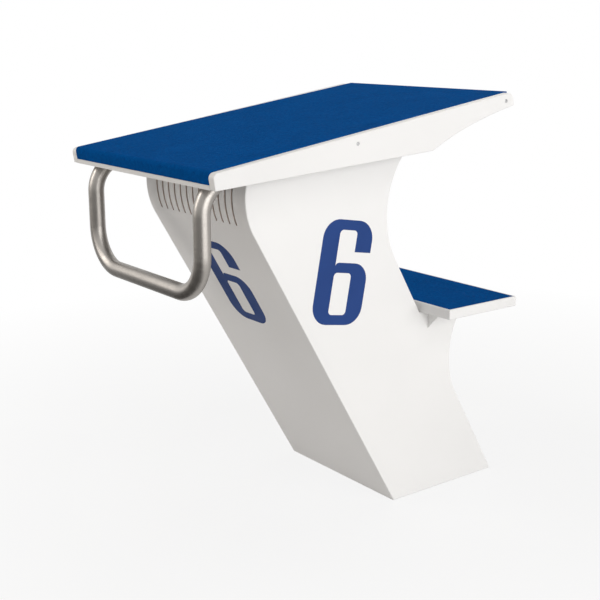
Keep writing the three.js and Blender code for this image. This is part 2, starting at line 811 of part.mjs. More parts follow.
/** A strap under the tube with an ear on each side, drawn across the tube from the pan's underside. */
function saddle(sign, place) {
  const within = gripTubeRadius + seatGap;
  const outside = saddleReach;
  const drop = gripTubeRadius;
  const x = sign * gripHalf;
  const shape = new THREE.Shape();
  shape.moveTo(-outside - saddleEar, 0);
  shape.lineTo(-outside - saddleEar, -saddleThickness);
  shape.lineTo(-outside, -saddleThickness);
  shape.absarc(0, -drop, outside, Math.PI, 2 * Math.PI);
  shape.lineTo(outside, -saddleThickness);
  shape.lineTo(outside + saddleEar, -saddleThickness);
  shape.lineTo(outside + saddleEar, 0);
  shape.lineTo(within, 0);
  shape.absarc(0, -drop, within, 2 * Math.PI, Math.PI, true);
  shape.lineTo(-within, 0);
  const outline = new THREE.Shape(shape.getPoints(saddleSteps));
  const strap = forward(outline, place + saddleWidth / 2, saddleWidth);
  const seated = strap.translate([x, 0, -panUnderside - seatGap]);
  const holes = [];
  eachSaddleScrew(sign, (screwX, screwY) => {
    const point = new THREE.Vector3(screwX, screwY, -panUnderside);
    holes.push(drill(point, axisZ, saddleScrewRadius + shankGap, cutOverrun));
  });
  return seated.subtract(join(...holes));
}

function endPlug(sign) {
  const head = gripTubeRadius;
  const stem = (gripTubeRadius - gripWall) * Math.cos(Math.PI / boreSides) - seatGap;
  const seat = new THREE.Vector3(sign * gripHalf, gripEnd + seatGap, -gripDepth);
  return screw(seat, axisY.clone().negate(), stem, endPlugLength, head, endPlugHeadThickness);
}

// Deck and grip are put together

deck.add(
  piece('deck_tread', across(treadOutline(), -panHalf, panHalf), tread()),
  piece('deck_pan', pan(), whitePlastic()),
);
grip.add(piece('grip_tube', gripTube(), steel()));
sides.forEach(({ name, sign }) => {
  deck.add(piece(`cheek_${name}`, cheek(sign), whitePlastic()));
  cheekScrewPoints(sign * (deckHalf - cheekScrewHeadHeight)).forEach((point, i) => {
    const body = screw(
      point,
      axisX.clone().multiplyScalar(-sign),
      cheekScrewRadius,
      cheekScrewLength,
      cheekScrewHeadRadius,
      cheekScrewHeadHeight,
    );
    deck.add(piece(`cheek_screw_${name}_${i + 1}`, body, steel()));
  });
  deckBoltPlaceShares.forEach((share, i) => {
    deck.add(piece(`deck_bolt_${name}_${i + 1}`, deckBolt(sign, share), steel()));
  });
  saddlePlaces.forEach((place, i) => {
    deck.add(piece(`grip_saddle_${name}_${i + 1}`, saddle(sign, place), steel()));
  });
  let screwCount = 0;
  eachSaddleScrew(sign, (x, y) => {
    screwCount += 1;
    const point = new THREE.Vector3(x, y, -panUnderside - saddleThickness - 2 * seatGap);
    const body = screw(
      point, axisZ, saddleScrewRadius, saddleScrewLength, saddleScrewHeadRadius, saddleScrewHeadHeight,
    );
    deck.add(piece(`grip_screw_${name}_${screwCount}`, body, steel()));
  });
  deck.add(piece(`grip_end_plug_${name}`, endPlug(sign), blackPlastic()));
});

// Step: a board with its tread let in, on the side panels' ledges, and a gusset under each overhang

const stepFront = leaningLine(upperNeck, 0, ledge) + stepFrontGap;
const stepHalf = pedestalHalf + stepSideOverhang;
const stepTreadLow = stepHeight - stepTreadThickness;

function rectangle(x0, x1, y0, y1) {
  return new THREE.Shape([
    new THREE.Vector2(x0, y0),
    new THREE.Vector2(x1, y0),
    new THREE.Vector2(x1, y1),
    new THREE.Vector2(x0, y1),
  ]);
}

function gussetScrewPoint(sign) {
  const y = stepFront + gussetSetback + (gussetThickness + gussetFlange) / 2;
  return new THREE.Vector3(sign * (pedestalHalf + seatGap + gussetWidth / 2), y, ledge - gussetThickness);
}

function stepBoard() {
  const outline = rectangle(-stepHalf, stepHalf, stepFront, stepFront + stepDepth);
  const pocketHalf = stepHalf - stepRim;
  const pocketRear = stepFront + stepDepth - stepRim;
  const pocket = box(
    -pocketHalf, pocketHalf, stepFront + stepRim, pocketRear, stepTreadLow, stepHeight + cutOverrun,
  );
  const screwHole = (point, held) =>
    drill(point.setZ(ledge), axisZ, stepScrewRadius + shankGap, 2 * (stepScrewLength - held));
  const holes = sides.flatMap(({ sign }) => [
    ...stepBoltPlaceShares.map((share) =>
      screwHole(new THREE.Vector3(sign * flangeMiddle, alongLedge(share), ledge), sheet),
    ),
    screwHole(gussetScrewPoint(sign), gussetThickness),
  ]);
  return upward(outline, ledge, stepThickness, stepEdgeChamfer).subtract(pocket).subtract(join(...holes));
}

function stepTread() {
  const half = stepHalf - stepRim - seatGap;
  const low = stepFront + stepRim + seatGap;
  const high = stepFront + stepDepth - stepRim - seatGap;
  return upward(rectangle(-half, half, low, high), stepTreadLow, stepTreadThickness);
}

function gusset(sign) {
  const root = sign * (pedestalHalf + seatGap);
  const tip = root + sign * gussetWidth;
  const web = new THREE.Shape([
    new THREE.Vector2(root, ledge - gussetHeight),
    new THREE.Vector2(tip, ledge - gussetThickness),
    new THREE.Vector2(tip, ledge),
    new THREE.Vector2(root, ledge),
  ]);
  const webFront = stepFront + gussetSetback;
  const points = sign > 0 ? web : new THREE.Shape(web.getPoints().reverse());
  const plate = forward(points, webFront + gussetThickness, gussetThickness);
  const flange = box(root, tip, webFront, webFront + gussetFlange, ledge - gussetThickness, ledge);
  const hole = drill(gussetScrewPoint(sign), axisZ, stepScrewRadius + shankGap, cutOverrun);
  return plate.add(flange).subtract(hole);
}

function stepScrew(point) {
  return screw(
    point, axisZ, stepScrewRadius, stepScrewLength, stepScrewHeadRadius, stepScrewHeadHeight,
  );
}

step.add(piece('step_board', stepBoard(), whitePlastic()), piece('step_tread', stepTread(), tread()));
sides.forEach(({ name, sign }) => {
  step.add(piece(`step_gusset_${name}`, gusset(sign), whiteCoat()));
  stepBoltPlaceShares.forEach((share, i) => {
    const point = new THREE.Vector3(sign * flangeMiddle, alongLedge(share), ledge - sheet - seatGap);
    step.add(piece(`step_bolt_${name}_${i + 1}`, stepScrew(point), steel()));
  });
  const point = gussetScrewPoint(sign);
  step.add(piece(`gusset_screw_${name}`, stepScrew(point.setZ(point.z - seatGap)), steel()));
});

// Loudspeaker: a baffle between the side panels, and a driver that looks at the slots

const speakerHeight = frontBendHeight + (slotAboveBend - slotBelowBend) / 2;
const baffleHalf = basketRadius + baffleMargin;
const baffleEdges = [-baffleHalf, baffleHalf].map((rise) =>
  leaningY(front, flangeInset + sheet, speakerHeight + rise),
);
const baffleFront = Math.max(...baffleEdges) + baffleClearance;

function baffle() {
  const low = speakerHeight - baffleHalf;
  const high = speakerHeight + baffleHalf;
  const rear = baffleFront + baffleThickness;
  const tabs = sides.map(({ sign }) => {
    const outer = sign * panelHalf;
    return box(outer, outer - sign * baffleThickness, baffleFront, baffleFront + baffleTab, low, high);
  });
  const mouth = drill(
    new THREE.Vector3(0, baffleFront, speakerHeight), axisY, basketRadius - basketRim, cutOverrun,
  );
  return join(box(-panelHalf, panelHalf, baffleFront, rear, low, high), ...tabs).subtract(mouth);
}

/** Parts of the driver are turned about its axis, with heights counted from the baffle's rear face. */
function driverPart(profile) {
  const rear = baffleFront + baffleThickness;
  return revolve(profile, speakerSides).translate(0, rear, speakerHeight);
}

const throat = magnetRadius - basketSheet;
const coneMouth = basketRadius - basketRim;

function basket() {
  return driverPart([
    [throat - basketSheet, basketDepth],
    [throat - basketSheet, basketDepth - basketSheet],
    [throat, basketDepth - basketSheet],
    [basketRadius - basketRim + basketSheet, seatGap + basketSheet],
    [basketRadius - basketRim, seatGap],
    [basketRadius, seatGap],
    [basketRadius, seatGap + basketSheet],
    [basketRadius - basketRim + 2 * basketSheet, seatGap + basketSheet],
    [throat + basketSheet, basketDepth],
    [throat - basketSheet, basketDepth],
  ]);
}

function cone() {
  const neck = coneThroatShare * coneMouth;
  const depth = basketDepth - 2 * basketSheet;
  return driverPart([
    [0, depth - coneSheet],
    [neck, depth - coneSheet],
    [coneMouth - seatGap, seatGap],
    [coneMouth - seatGap, seatGap + coneSheet],
    [neck, depth],
    [0, depth],
  ]);
}

function magnet() {
  const start = basketDepth + seatGap;
  return driverPart([
    [0, start],
    [magnetRadius, start],
    [magnetRadius, start + magnetDepth],
    [0, start + magnetDepth],
  ]);
}

speaker.add(
  piece('speaker_baffle', baffle(), steel()),
  piece('speaker_basket', basket(), blackPlastic()),
  piece('speaker_cone', cone(), blackPlastic()),
  piece('speaker_magnet', magnet(), steel()),
);

export default block;
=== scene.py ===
"""Looks of a swimming starting block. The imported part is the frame; every piece here rides on it.

Lengths are named in millimetres, as the part names them, and become metres as each mesh is made.
The lights and the camera are placed in metres. Left and right are those of a swimmer who faces
the pool, so left is +X.
"""

import math

import bmesh
import bpy
from mathutils import Matrix, Quaternion, Vector

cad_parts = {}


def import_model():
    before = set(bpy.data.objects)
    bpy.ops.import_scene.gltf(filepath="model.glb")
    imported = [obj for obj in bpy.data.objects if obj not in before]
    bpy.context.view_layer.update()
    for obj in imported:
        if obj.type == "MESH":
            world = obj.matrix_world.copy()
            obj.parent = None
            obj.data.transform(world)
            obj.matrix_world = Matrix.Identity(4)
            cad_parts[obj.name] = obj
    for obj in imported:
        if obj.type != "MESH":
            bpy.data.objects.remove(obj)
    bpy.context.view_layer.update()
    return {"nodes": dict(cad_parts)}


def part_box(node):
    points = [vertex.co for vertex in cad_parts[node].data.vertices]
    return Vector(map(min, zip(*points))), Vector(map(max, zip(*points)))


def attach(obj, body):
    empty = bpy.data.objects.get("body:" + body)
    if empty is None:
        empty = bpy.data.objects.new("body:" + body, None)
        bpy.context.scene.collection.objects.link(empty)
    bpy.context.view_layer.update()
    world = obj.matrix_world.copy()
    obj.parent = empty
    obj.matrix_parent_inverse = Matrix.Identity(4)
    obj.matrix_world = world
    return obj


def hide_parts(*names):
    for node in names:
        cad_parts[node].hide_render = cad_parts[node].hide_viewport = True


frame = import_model()
nodes = frame["nodes"]

MM = 0.001
TOUCH = 0.01  # places nearer than this are one
bend_steps, upper_bend_steps = 48, 64
sides = (("left", 1), ("right", -1))

# The part's own sizes
lean = math.radians(30.2)
slope = math.radians(8.5)
flare = math.radians(40.1)
sheet = 3
seat_gap = 0.3
pedestal_half = 170
inner_half = pedestal_half - sheet
flange_end = 145
flange_inset = sheet + seat_gap
flange_margin = 0.5
foot = 142
roof = 15.3
ledge = 388
front_centre, front_radius = (-369.894, 650), 130
lower_centre, lower_radius = (169.94, 282), 166
upper_centre, upper_radius = (2.79, 593.04), 178
deck_front, deck_height = -615.894, 715
deck_length, deck_half, tread_half = 694, 250, 233.7
tread_thickness, tread_edge_radius, tread_wrap = 5, 8, 22.7
front_depth = 31
cheek_thickness, cheek_front_drop, cheek_rear_drop = 16, 3, 0.5
cheek_front_radius, cheek_rear_radius, cheek_rear_depth = 9, 13, 26.5
cheek_knee, cheek_knee_depth = 0.683 * deck_length, 68
cheek_screws = ((0.43 * deck_length, 17.5), (0.97 * deck_length, 14))
counterbore_radius, counterbore_depth = 3.7, 2.3
slot_count, slot_reach, slot_width, slot_low, slot_high = 13, 128, 5, 600, 690
slot_cutter_ends = (-520, -440)
grip_radius, grip_wall, grip_half, grip_depth, grip_bar_drop = 15, 2, 187, 30.3, 220
grip_setback, grip_bends = 17, (62, 75, 75, 62)
step_half, step_front, step_depth, step_height = 250, -80.81, 190, 408
step_rim, step_recess = 4, 3

# The lane number's sizes, in its own width and height, and its places
digit_width, digit_height, digit_stem, digit_bar = 119.5, 198, 39, 19
digit_bowl, digit_hook = 117.7, 138.7
digit_level, digit_tilt = math.radians(9.5), math.radians(10.7)
side_digit_centre = (-283, 495.3)
front_digit_rise, front_digit_left, front_digit_narrowing = 438.7, 62.5, 0.958
film_half, film_lift = 0.06, 0.07

# Colours, linear
COAT = (0.82, 0.817, 0.81)
PLASTIC = (0.78, 0.777, 0.77)
BLUE = (0.0008, 0.071, 0.28)
FILM = (0.026, 0.061, 0.212)
TUBE = (0.355, 0.333, 0.308)
SCREW = (0.42, 0.42, 0.42)
PLAIN = (0.45, 0.45, 0.44)
BLACK = (0.02, 0.02, 0.022)
# Painted shade: the darker warm coat of the walls inside the slots
SLOT_SHADE = (0.72, 0.62, 0.56)
WHITE = (1, 1, 1)


# Materials


class Shader:
    """A material's nodes, made one by one. Scales are per metre and bump distances in metres."""

    def __init__(self, name, roughness, metallic=0.0):
        self.material = bpy.data.materials.new(name)
        self.material.use_nodes = True
        self.tree = self.material.node_tree
        self.principled = self.tree.nodes["Principled BSDF"]
        self.principled.inputs["Roughness"].default_value = roughness
        self.principled.inputs["Metallic"].default_value = metallic
        self.place = self.node("ShaderNodeTexCoord").outputs["Object"]

    def node(self, kind, **settings):
        node = self.tree.nodes.new(kind)
        for key, value in settings.items():
            setattr(node, key, value)
        return node

    def link(self, source, target):
        self.tree.links.new(source, target)

    def stretched(self, scale):
        mapping = self.node("ShaderNodeMapping")
        mapping.inputs["Scale"].default_value = scale
        self.link(self.place, mapping.inputs["Vector"])
        return mapping.outputs["Vector"]

    def noise(self, scale, detail=2.0, rough=0.5, place=None):
        node = self.node("ShaderNodeTexNoise")
        node.inputs["Scale"].default_value = scale
        node.inputs["Detail"].default_value = detail
        node.inputs["Roughness"].default_value = rough
        self.link(place or self.place, node.inputs["Vector"])
        return node.outputs["Fac"]

    def grains(self, scale):
        node = self.node("ShaderNodeTexVoronoi")
        node.inputs["Scale"].default_value = scale
        self.link(self.place, node.inputs["Vector"])
        return node.outputs["Distance"]

    def ramp(self, source, low, high, start=0.3, end=0.7):
        """A value from low to high, as the source goes from start to end."""
        node = self.node("ShaderNodeMapRange")
        settings = {"From Min": start, "From Max": end, "To Min": low, "To Max": high}
        for name, value in settings.items():
            node.inputs[name].default_value = value
        self.link(source, node.inputs["Value"])
        return node.outputs["Result"]

    def tint(self, source, low, high, start=0.3, end=0.7):
        """A colour from low to high, as the source goes from start to end."""
        node = self.node("ShaderNodeValToRGB")
        for stop, position, color in zip(node.color_ramp.elements, (start, end), (low, high)):
            stop.position = position
            stop.color = (*color, 1)
        self.link(source, node.inputs["Fac"])
        return node.outputs["Color"]

    def mix(self, factor, a, b, blend="MIX"):
        """Two colours mixed. The factor is a number or a source, and so is each colour."""
        node = self.node("ShaderNodeMix", data_type="RGBA", blend_type=blend)
        first, second, result = node.inputs[6], node.inputs[7], node.outputs[2]
        if isinstance(factor, float):
            node.inputs["Factor"].default_value = factor
        else:
            self.link(factor, node.inputs["Factor"])
        for value, socket in ((a, first), (b, second)):
            if isinstance(value, tuple):
                socket.default_value = (*value, 1)
            else:
                self.link(value, socket)
        return result

    def bump(self, height, distance, strength=1.0, over=None):
        node = self.node("ShaderNodeBump")
        node.inputs["Distance"].default_value = distance
        node.inputs["Strength"].default_value = strength
        self.link(height, node.inputs["Height"])
        if over is not None:
            self.link(over, node.inputs["Normal"])
        return node.outputs["Normal"]

    def done(self, color, roughness=None, normal=None, **single):
        inputs = self.principled.inputs
        for key, value in single.items():
            inputs[key.replace("_", " ")].default_value = value
        for name, source in (("Base Color", color), ("Roughness", roughness), ("Normal", normal)):
            if source is not None:
                self.link(source, inputs[name])
        return self.material


def shade(color, factor):
    return tuple(c * factor for c in color)


def grey(value):
    return (value, value, value)


def satin_coat():
    """Powder coat: a satin skin with fine orange peel and hardly any change of tone."""
    s = Shader("satin_powder_coat", 0.42)
    color = s.tint(s.noise(2.2, 3.0), shade(COAT, 0.975), shade(COAT, 1.02))
    roughness = s.ramp(s.noise(9.0, 4.0), 0.38, 0.5)
    peel = s.bump(s.noise(420.0, 1.5, 0.4), 0.00012, 0.5)
    normal = s.bump(s.noise(60.0, 2.0), 0.0003, 0.25, over=peel)
    return s.done(color, roughness, normal)


def painted_slot_shade():
    """A darker, warm coat on the cut walls in the slots: painted shade, so that the slots read
    dark.
    """
    s = Shader("painted_slot_shade_coat", 0.6)
    color = s.tint(s.noise(160.0, 3.0), shade(SLOT_SHADE, 0.9), shade(SLOT_SHADE, 1.1))
    roughness = s.ramp(s.noise(300.0, 3.0), 0.5, 0.7)
    return s.done(color, roughness, s.bump(s.noise(900.0, 2.0), 0.00005, 0.6))


def matt_plastic():
    """Moulded sheet with a fine matt grain."""
    s = Shader("matt_white_plastic", 0.5)
    color = s.tint(s.noise(3.0, 3.0), shade(PLASTIC, 0.98), shade(PLASTIC, 1.015))
    roughness = s.ramp(s.noise(14.0, 4.0), 0.46, 0.58)
    normal = s.bump(s.noise(1500.0, 3.0, 0.6), 0.00008, 0.6)
    return s.done(color, roughness, normal)


def blue_tread():
    """Non-slip sheet: a close grit with soft cloudy patches, a mottle and some pale crumbs."""
    s = Shader("blue_grit_tread", 0.85)
    cloud = s.tint(s.noise(16.0, 5.0, 0.65), shade(BLUE, 0.92), shade(BLUE, 1.08))
    mottle = s.tint(s.noise(150.0, 3.0, 0.6), grey(0.84), grey(1.16))
    crumbs = s.tint(s.noise(520.0, 3.0, 0.7), grey(0.82), (1.22, 1.16, 1.1), 0.35, 0.68)
    color = s.mix(1.0, s.mix(1.0, cloud, mottle, "MULTIPLY"), crumbs, "MULTIPLY")
    roughness = s.ramp(s.noise(260.0, 3.0), 0.72, 0.95)
    grit = s.bump(s.grains(620.0), 0.0007, 0.8)
    normal = s.bump(s.noise(240.0, 4.0, 0.6), 0.0008, 0.5, over=grit)
    return s.done(color, roughness, normal, Specular_IOR_Level=0.01)


def number_film():
    """Thin satin film of the lane number."""
    s = Shader("blue_number_film", 0.4)
    color = s.tint(s.noise(7.0, 3.0), shade(FILM, 0.95), shade(FILM, 1.06))
    roughness = s.ramp(s.noise(40.0, 3.0), 0.34, 0.48)
    normal = s.bump(s.noise(420.0, 1.5, 0.4), 0.0001, 0.4)
    return s.done(color, roughness, normal, Specular_IOR_Level=0.03)


def brushed_tube():
    """Satin stainless: fine lines round the tube, whose map runs round it in u and along in v."""
    s = Shader("satin_brushed_tube", 0.33, metallic=1.0)
    s.place = s.node("ShaderNodeTexCoord").outputs["UV"]
    lines = s.noise(1.0, 6.0, 0.75, s.stretched((6.0, 2600.0, 1.0)))
    scuffs = s.noise(1.0, 4.0, 0.6, s.stretched((30.0, 160.0, 1.0)))
    cloud = s.noise(1.0, 3.0, 0.5, s.stretched((9.0, 14.0, 1.0)))
    tone = s.tint(lines, shade(TUBE, 0.86), shade(TUBE, 1.12), 0.25, 0.75)
    color = s.mix(s.ramp(cloud, 0.0, 0.35), tone, shade(TUBE, 0.9))
    roughness = s.ramp(scuffs, 0.33, 0.46)
    normal = s.bump(lines, 0.00006, 0.4)
    tangent = s.node("ShaderNodeTangent", direction_type="UV_MAP")
    s.link(tangent.outputs["Tangent"], s.principled.inputs["Tangent"])
    return s.done(color, roughness, normal, Anisotropic=0.45, Anisotropic_Rotation=0.25)


def bare_steel(name, color, low, high, scale):
    """Steel of a tone, a range of roughness and a scale of its marks."""
    s = Shader(name, (low + high) / 2, metallic=1.0)
    tone = s.tint(s.noise(scale, 4.0, 0.6), shade(color, 0.86), shade(color, 1.1))
    roughness = s.ramp(s.noise(scale * 6, 3.0), low, high)
    normal = s.bump(s.noise(scale * 14, 2.0), 0.00004, 0.6)
    return s.done(tone, roughness, normal)


def matt_black():
    """Moulded black plastic with a fine grain."""
    s = Shader("matt_black_plastic", 0.6)
    color = s.tint(s.noise(30.0, 3.0), shade(BLACK, 0.8), shade(BLACK, 1.5))
    roughness = s.ramp(s.noise(120.0, 3.0), 0.5, 0.7)
    normal = s.bump(s.noise(1400.0, 3.0), 0.00006, 0.6)
    return s.done(color, roughness, normal)


finishes = {
    "white_coat": satin_coat(),
    "white_plastic": matt_plastic(),
    "slot_shade": painted_slot_shade(),
    "blue_tread": blue_tread(),
    "brushed_tube": brushed_tube(),
    "screw_steel": bare_steel("turned_screw_steel", SCREW, 0.28, 0.45, 90.0),
    "plain_steel": bare_steel("plain_sheet_steel", PLAIN, 0.34, 0.5, 24.0),
    "black_plastic": matt_black(),
    "film": number_film(),
}


# Curves in the plane across the block: x is along the block (Y) and y is up (Z)


def arc(centre, radius, start, end, steps):
    return [
        Vector((centre[0] + radius * math.cos(a), centre[1] + radius * math.sin(a)))
        for a in (start + (end - start) * i / steps for i in range(steps + 1))
    ]


def deck_point(along, square):
    """A place along the tread from its front top corner, and square to it."""
    return Vector((
        deck_front + along * math.cos(slope) - square * math.sin(slope),
        deck_height + along * math.sin(slope) + square * math.cos(slope),
    ))


def leaning(foot_y, inset, height):
    """A place on a leaning face, moved square to it by inset."""
    return Vector((foot_y + inset / math.cos(lean) - height * math.tan(lean), height))


def angle_at_height(centre, radius, height):
    return math.pi - math.asin((height - centre[1]) / radius)


def angle_at_depth(centre, radius, depth):
    """Where an arc meets a plane parallel to the tread, at a depth below it."""
    way = Vector((math.cos(slope), math.sin(slope)))
    offset = deck_point(0, -depth) - Vector(centre)
    half = way.dot(offset)
    offset += way * (-half - math.sqrt(half * half - offset.length_squared + radius * radius))
    return math.atan2(offset.y, offset.x) % math.tau


def between(start, end, steps):
    """The places between two, without either."""
    return [start.lerp(end, i / steps) for i in range(1, steps)]


def front_curve(inset, depth=roof):
    """Up the leaning front and round its bend, moved inwards by inset."""
    radius = front_radius - inset
    top = angle_at_depth(front_centre, radius, depth)
    bend = arc(front_centre, radius, math.pi + lean, top, bend_steps)
    start = leaning(-foot, inset, 0)
    return [start, *between(start, bend[0], 12), *bend]


def lower_curve(inset, top=ledge):
    """Up the rear face below the step."""
    radius = lower_radius + inset
    end = angle_at_height(lower_centre, radius, top)
    bend = arc(lower_centre, radius, math.pi + lean, end, bend_steps)
    start = leaning(foot, -inset, 0)
    return [start, *between(start, bend[0], 6), *bend]


def upper_curve(inset, depth=roof, bottom=ledge):
    """Up the rear face above the step, and the straight flare to the deck."""
    radius = upper_radius + inset
    bend = arc(upper_centre, radius, math.pi + lean, math.pi / 2 + flare, upper_bend_steps)
    start = leaning(foot, -inset, bottom)
    way = Vector((math.cos(flare), math.sin(flare)))
    square = Vector((-math.sin(slope), math.cos(slope)))
    origin = deck_point(0, -depth)
    end = bend[-1] + way * ((origin - bend[-1]).dot(square) / way.dot(square))
    return [start, *between(start, bend[0], 6), *bend, *between(bend[-1], end, 4), end]


# Meshes


def prism(outline, ends, place):
    """An outline carried from one end to the other and closed at both; place sets each corner."""
    mesh = bmesh.new()
    first, last = ([mesh.verts.new(place(end, p)) for p in outline] for end in ends)
    for i in range(len(outline)):
        j = (i + 1) % len(outline)
        mesh.faces.new((first[i], first[j], last[j], last[i]))
    mesh.faces.new(first[::-1])
    mesh.faces.new(last)
    bmesh.ops.recalc_face_normals(mesh, faces=mesh.faces)
    return mesh


def across(outline, x0, x1):
    """A prism from x0 to x1, with the outline in the plane across the block."""
    return prism(outline, (x0, x1), lambda x, p: (x, p.x, p.y))


def round_edges(mesh, radius, keep=None, degrees=40, segments=3):
    """Rounds the edges that turn by more than an angle, where keep says so."""
    mesh.normal_update()
    edges = [
        e
        for e in mesh.edges
        if len(e.link_faces) == 2
        and e.calc_face_angle() > math.radians(degrees)
        and (keep is None or keep(e.verts[0].co, e.verts[1].co))
    ]
    bmesh.ops.bevel(
        mesh, geom=edges, offset=radius, offset_type="OFFSET", segments=segments, profile=0.5,
        affect="EDGES", clamp_overlap=True,
    )


def join(mesh, other):
    """Adds another mesh to a mesh, and uses the other up."""
    data = bpy.data.meshes.new("joined")
    other.to_mesh(data)
    other.free()
    mesh.from_mesh(data)
    bpy.data.meshes.remove(data)


def link_object(name, data):
    made = bpy.data.objects.new(name, data)
    bpy.context.scene.collection.objects.link(made)
    return made


def to_object(mesh, name):
    """An object in metres from a mesh in millimetres, which is used up."""
    data = bpy.data.meshes.new(name)
    bmesh.ops.scale(mesh, vec=(MM, MM, MM), verts=mesh.verts)
    mesh.to_mesh(data)
    mesh.free()
    return link_object(name, data)


def settle(made):
    """Applies the modifiers."""
    depsgraph = bpy.context.evaluated_depsgraph_get()
    old = made.data
    made.data = bpy.data.meshes.new_from_object(made.evaluated_get(depsgraph))
    made.modifiers.clear()
    bpy.data.meshes.remove(old)
    made.data.name = made.name


def smooth(made, degrees=35):
    """Shades smooth, with edges that turn by more than an angle sharp."""
    made.data.polygons.foreach_set("use_smooth", [True] * len(made.data.polygons))
    made.data.set_sharp_from_angle(angle=math.radians(degrees))
    weighted = made.modifiers.new("weighted", "WEIGHTED_NORMAL")
    weighted.keep_sharp = True
    weighted.weight = 60
    settle(made)


def cut(made, cutter):
    """Takes a cutter, closed and in millimetres, out of a piece."""
    tool = to_object(cutter, "cutter")
    boolean = made.modifiers.new("cut", "BOOLEAN")
    boolean.operation = "DIFFERENCE"
    boolean.solver = "EXACT"
    boolean.object = tool
    settle(made)
    data = tool.data
    bpy.data.objects.remove(tool)
    bpy.data.meshes.remove(data)


def show(made, finish, *replaced, slot=None):
    """Gives a piece its finish and its place in the part."""
    made.data.materials.clear()
    made.data.materials.append(finishes[finish])
    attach(made, "root")
    if replaced:
        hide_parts(*replaced)


def merge_flats(made):
    """Merges a copied CAD mesh and takes out the edges inside its flat faces."""
    mesh = bmesh.new()
    mesh.from_mesh(made.data)
    bmesh.ops.remove_doubles(mesh, verts=mesh.verts, dist=1e-6)
    bmesh.ops.dissolve_limit(
        mesh, angle_limit=math.radians(1.0), verts=mesh.verts, edges=mesh.edges,
        use_dissolve_boundaries=False,
    )
    mesh.to_mesh(made.data)
    mesh.free()


def dress(node, finish, radius, slot=None):
    """A piece with the shape of its CAD node and softened edges."""
    made = nodes[node].copy()
    made.data = nodes[node].data.copy()
    made.name = made.data.name = node + "_skin"
    made.parent = None
    for key in list(made.keys()):
        del made[key]
    bpy.context.scene.collection.objects.link(made)
    merge_flats(made)
    bevel = made.modifiers.new("edges", "BEVEL")
    bevel.width = radius * MM
    bevel.segments = 2
    bevel.limit_method = "ANGLE"
    bevel.angle_limit = math.radians(40)
    settle(made)
    smooth(made)
    show(made, finish, node, slot=slot)


# Pedestal


def panel_outline():
    return [*front_curve(0), *reversed(upper_curve(0)), *reversed(lower_curve(0))]


def flange_outline():
    """A strip one sheet thick, all round inside the panel's outline and clear of the deck pan."""
    outer, outer_depth = flange_inset, roof + flange_margin
    inner, inner_depth, inner_ledge = outer + sheet, outer_depth + sheet, ledge - sheet
    return [
        *front_curve(outer, outer_depth), *reversed(upper_curve(outer, outer_depth)),
        *reversed(lower_curve(outer)), *lower_curve(inner, inner_ledge),
        *upper_curve(inner, inner_depth, inner_ledge), *reversed(front_curve(inner, inner_depth)),
    ]


def side_panel(name, sign):
    outer = sign * pedestal_half
    panel = across(panel_outline(), sign * inner_half, outer)
    round_edges(panel, 2.2, lambda a, b: abs(a.x - outer) < TOUCH and abs(b.x - outer) < TOUCH)
    join(panel, across(flange_outline(), sign * (inner_half + flange_margin), sign * flange_end))
    made = to_object(panel, "side_panel_skin_" + name)
    smooth(made)
    show(made, "white_coat", "side_panel_" + name)


def off_the_ends(a, b):
    """True for an edge that isn't on the ends where a panel seats between the side panels."""
    return min(abs(a.x), abs(b.x)) < inner_half - 0.5


def slot_cutter(x):
    """An upright slot, rounded at both ends, from before the front panel to behind it."""
    half = slot_width / 2
    outline = [
        *arc((x, slot_low + half), half, math.pi, math.tau, 8),
        *arc((x, slot_high - half), half, 0, math.pi, 8),
    ]
    return prism(outline, slot_cutter_ends, lambda y, p: (p.x, y, p.y))


def in_a_slot(face):
    """True for a face that stands across the sheet, among the slots."""
    x, y, z = face.center / MM
    square = Vector((0, y - front_centre[0], z - front_centre[1])).normalized()
    among = abs(x) < slot_reach + slot_width and slot_low - 1 < z < slot_high + 1
    most_along_sheet = 0.6
    return among and abs(face.normal.dot(square)) < most_along_sheet


def front_panel():
    outline = [*front_curve(0), *reversed(front_curve(sheet))]
    made = to_object(across(outline, -inner_half, inner_half), "front_panel_skin")
    slots = bmesh.new()
    for i in range(slot_count):
        join(slots, slot_cutter(slot_reach * (2 * i / (slot_count - 1) - 1)))
    cut(made, slots)
    mesh = bmesh.new()
    mesh.from_mesh(made.data)
    bmesh.ops.scale(mesh, vec=(1 / MM,) * 3, verts=mesh.verts)
    round_edges(mesh, 0.35, off_the_ends, degrees=50, segments=2)
    bmesh.ops.scale(mesh, vec=(MM,) * 3, verts=mesh.verts)
    mesh.to_mesh(made.data)
    mesh.free()
    smooth(made)
    show(made, "white_coat", "front_panel")
    # The faces inside the slots take a darker coat: painted shade in the slot walls.
    made.data.materials.append(finishes["slot_shade"])
    for face in made.data.polygons:
        if in_a_slot(face):
            face.material_index = 1


def rear_panel(name, outline):
    mesh = across(outline, -inner_half, inner_half)
    round_edges(mesh, 0.4, off_the_ends, degrees=50, segments=2)
    made = to_object(mesh, name + "_skin")
    smooth(made)
    show(made, "white_coat", name)


for name, sign in sides:
    side_panel(name, sign)
front_panel()
rear_panel("rear_panel_upper", [*upper_curve(0), *reversed(upper_curve(sheet))])
lower_top = ledge - seat_gap
rear_panel(
    "rear_panel_lower", [*lower_curve(0, lower_top), *reversed(lower_curve(sheet, lower_top))]
)
dress("base_plate", "plain_steel", 0.6)


# Deck, drawn in the tread's own frame


def deck_outline(points):
    """From places along the tread and square to it, to the plane across the block."""
    return [deck_point(along, square) for along, square in points]


def deck_tread():
    r, t = tread_edge_radius, tread_thickness
    outline = deck_outline([
        (deck_length, 0), (r, 0), *arc((r, -r), r, math.pi / 2, math.pi, 12)[1:],
        (0, -tread_wrap), (t, -tread_wrap), *arc((r, -r), r - t, math.pi, math.pi / 2, 8),
        (deck_length, -t),
    ])
    mesh = across(outline, -tread_half, tread_half)
    round_edges(mesh, 0.9)
    made = to_object(mesh, "deck_tread_skin")
    smooth(made)
    show(made, "blue_tread", "deck_tread")


